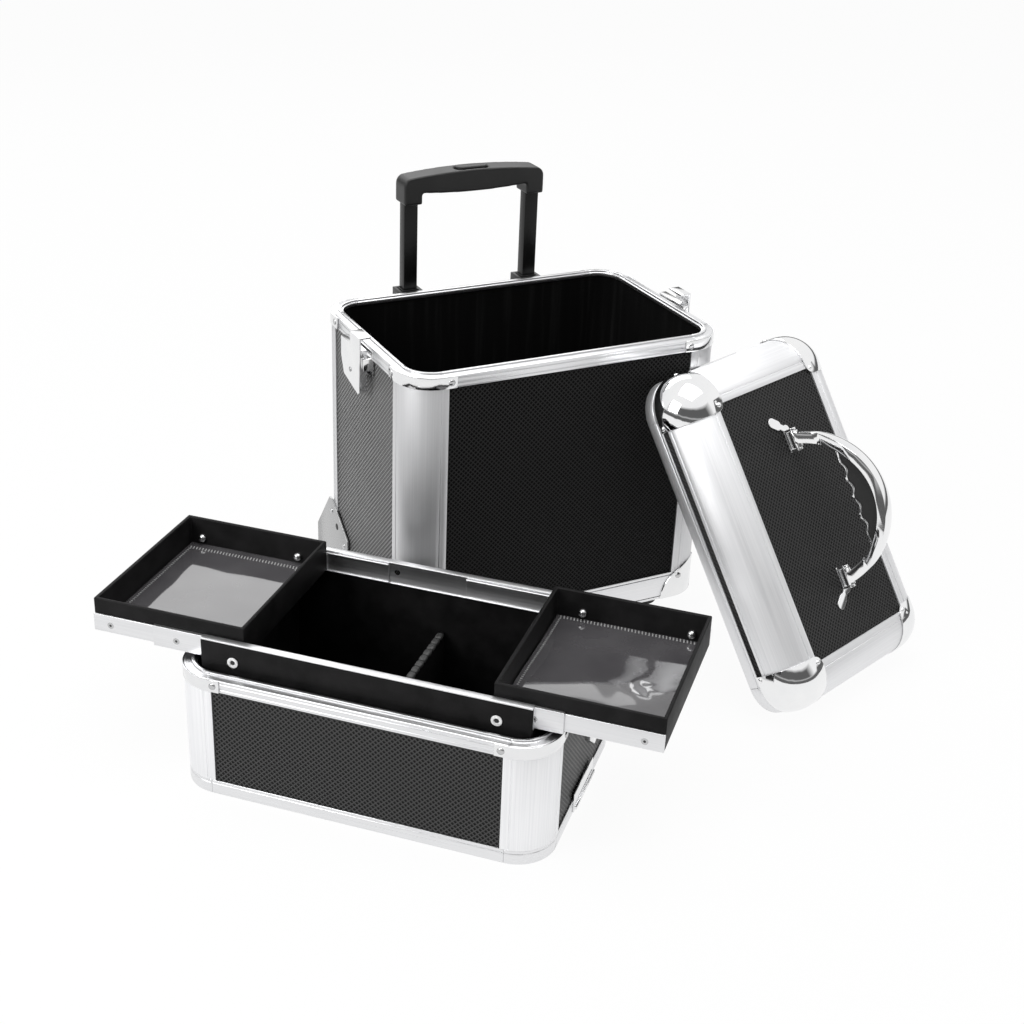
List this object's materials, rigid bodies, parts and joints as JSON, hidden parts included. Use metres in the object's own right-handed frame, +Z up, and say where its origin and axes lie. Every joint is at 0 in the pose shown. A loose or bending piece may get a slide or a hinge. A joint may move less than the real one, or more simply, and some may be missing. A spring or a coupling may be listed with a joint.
{
  "type": "rolling makeup case",
  "caption": "Rolling make-up case in stacking sections with aluminium edges: wheeled base with pull handle, section with sliding trays, and lid with carrying handle.",
  "frame": {"origin": "on the ground at the middle of the set's bounding box", "axes": "+Z up, -Y towards the front of the base, +X to the right along the base's front"},
  "size_m": [0.8064, 0.622, 0.4435],
  "materials": {
    "black_panel": "black embossed sheet with a fine diamond pattern",
    "black_lining": "black cloth lining",
    "satin_aluminium": "satin drawn aluminium profile",
    "bright_chrome": "bright plated steel",
    "bright_steel": "plated steel pins",
    "wheel_rubber": "black wheel and foot rubber",
    "tube_black": "gloss black tube",
    "grip_black": "matte black moulding",
    "leatherette": "black leatherette over board",
    "white_enamel": "white enamelled eyelet",
    "clear_vinyl": "clear grey vinyl sheet"
  },
  "bodies": {
    "base": {"base_front_panel": "black_panel", "base_back_panel": "black_panel", "base_side_panels": "black_panel", "base_bottom_panel": "black_panel", "base_lining": "black_lining", "base_corner_posts": "satin_aluminium", "base_top_rim": "satin_aluminium", "base_rim_corners": "bright_chrome", "base_bottom_frame": "satin_aluminium", "base_foot_corners": "bright_chrome", "wheel_brackets": "bright_chrome", "wheel_axles": "bright_steel", "front_feet": "wheel_rubber", "handle_outer_tubes": "tube_black", "handle_mounts": "grip_black", "base_latch_brackets": "bright_chrome"},
    "wheel_left": {"wheel_left": "wheel_rubber"},
    "wheel_right": {"wheel_right": "wheel_rubber"},
    "handle_middle": {"handle_middle_tubes": "tube_black"},
    "handle_upper": {"handle_inner_tubes": "tube_black", "handle_grip": "grip_black"},
    "handle_button": {"handle_button": "grip_black"},
    "base_latch_left": {"base_latch_left": "bright_chrome"},
    "base_latch_right": {"base_latch_right": "bright_chrome"},
    "tray_section": {"section_front_panel": "black_panel", "section_back_panel": "black_panel", "section_side_panels": "black_panel", "section_bottom_panel": "black_panel", "section_lining": "black_lining", "section_corner_posts": "satin_aluminium", "section_top_rim": "satin_aluminium", "section_rim_corners": "bright_chrome", "section_bottom_frame": "satin_aluminium", "section_catches": "bright_chrome", "insert_walls": "leatherette", "insert_ends": "leatherette", "insert_eyelets": "white_enamel", "tray_tracks": "satin_aluminium", "divider": "leatherette", "section_latch_brackets": "bright_chrome"},
    "section_latch_left": {"section_latch_left": "bright_chrome"},
    "section_latch_right": {"section_latch_right": "bright_chrome"},
    "left_tray": {"left_tray_box": "leatherette", "left_tray_rails": "satin_aluminium", "left_tray_sheet": "clear_vinyl"},
    "left_slides": {"left_slides": "satin_aluminium"},
    "right_tray": {"right_tray_box": "leatherette", "right_tray_rails": "satin_aluminium", "right_tray_sheet": "clear_vinyl"},
    "right_slides": {"right_slides": "satin_aluminium"},
    "lid": {"lid_top_panel": "black_panel", "lid_edge_profiles": "satin_aluminium", "lid_side_strip": "black_panel", "lid_rim": "satin_aluminium", "lid_corner_caps": "bright_chrome", "lid_lining": "black_lining", "lid_catches": "bright_chrome", "lid_handle_brackets": "bright_chrome"},
    "lid_handle": {"lid_handle_bow": "bright_chrome", "lid_handle_grip": "grip_black"}
  },
  "joints": [
    {"name": "wheel_left_spin", "type": "hinge", "parent": "base", "child": "wheel_left", "pos_m": [-0.08849, 0.27597, 0.022], "axis": [1, 0, 0], "continuous": true},
    {"name": "wheel_right_spin", "type": "hinge", "parent": "base", "child": "wheel_right", "pos_m": [0.23251, 0.27597, 0.022], "axis": [1, 0, 0], "continuous": true},
    {"name": "handle_middle_slide", "type": "slide", "parent": "base", "child": "handle_middle", "axis": [0, 0, 1], "range_m": [0, 0.21]},
    {"name": "handle_upper_slide", "type": "slide", "parent": "handle_middle", "child": "handle_upper", "axis": [0, 0, 1], "range_m": [-0.088, 0.14]},
    {"name": "handle_button_press", "type": "slide", "parent": "handle_upper", "child": "handle_button", "axis": [0, 0, -1], "range_m": [0, 0.004], "stiffness_N_per_m": 800, "springref_m": -0.002},
    {"name": "base_latch_left_swing", "type": "hinge", "parent": "base", "child": "base_latch_left", "pos_m": [-0.10699, 0.16997, 0.303], "axis": [0, -1, 0], "range_deg": [0, 11], "stiffness_Nm_per_rad": 0.4, "springref_deg": -8.59},
    {"name": "base_latch_right_swing", "type": "hinge", "parent": "base", "child": "base_latch_right", "pos_m": [0.25101, 0.16997, 0.303], "axis": [0, 1, 0], "range_deg": [0, 11], "stiffness_Nm_per_rad": 0.4, "springref_deg": -8.59},
    {"name": "tray_section_lift", "type": "slide", "parent": "base", "child": "tray_section", "axis": [0, 0, 1], "range_m": [0, 0.3]},
    {"name": "section_latch_left_swing", "type": "hinge", "parent": "tray_section", "child": "section_latch_left", "pos_m": [-0.28322, 0.06088, 0.105], "axis": [-0.7034, -0.7108, 0], "range_deg": [0, 11], "stiffness_Nm_per_rad": 0.4, "springref_deg": -8.59},
    {"name": "section_latch_right_swing", "type": "hinge", "parent": "tray_section", "child": "section_latch_right", "pos_m": [-0.02876, -0.19094, 0.105], "axis": [0.7034, 0.7108, 0], "range_deg": [0, 11], "stiffness_Nm_per_rad": 0.4, "springref_deg": -8.59},
    {"name": "left_tray_slide", "type": "slide", "parent": "tray_section", "child": "left_tray", "axis": [0.7108, -0.7034, 0], "range_m": [0, 0.112]},
    {"name": "left_slides_run", "type": "slide", "parent": "tray_section", "child": "left_slides", "axis": [0.7108, -0.7034, 0], "range_m": [0, 0.0501]},
    {"name": "right_tray_slide", "type": "slide", "parent": "tray_section", "child": "right_tray", "axis": [-0.7108, 0.7034, 0], "range_m": [0, 0.112]},
    {"name": "right_slides_run", "type": "slide", "parent": "tray_section", "child": "right_slides", "axis": [-0.7108, 0.7034, 0], "range_m": [0, 0.0261]},
    {"name": "lid_lift", "type": "slide", "parent": "base", "child": "lid", "axis": [0.2695, -0.7871, 0.5548], "range_m": [0, 0.25]},
    {"name": "lid_handle_swing", "type": "hinge", "parent": "lid", "child": "lid_handle", "pos_m": [0.2838, -0.07932, 0.17958], "axis": [-0.1797, 0.5249, 0.832], "range_deg": [-107, 57]}
  ],
  "couplings": [
    {"joint": "left_slides_run", "follows": "left_tray_slide", "ratio": 0.44643},
    {"joint": "right_slides_run", "follows": "right_tray_slide", "ratio": 0.23214}
  ]
}
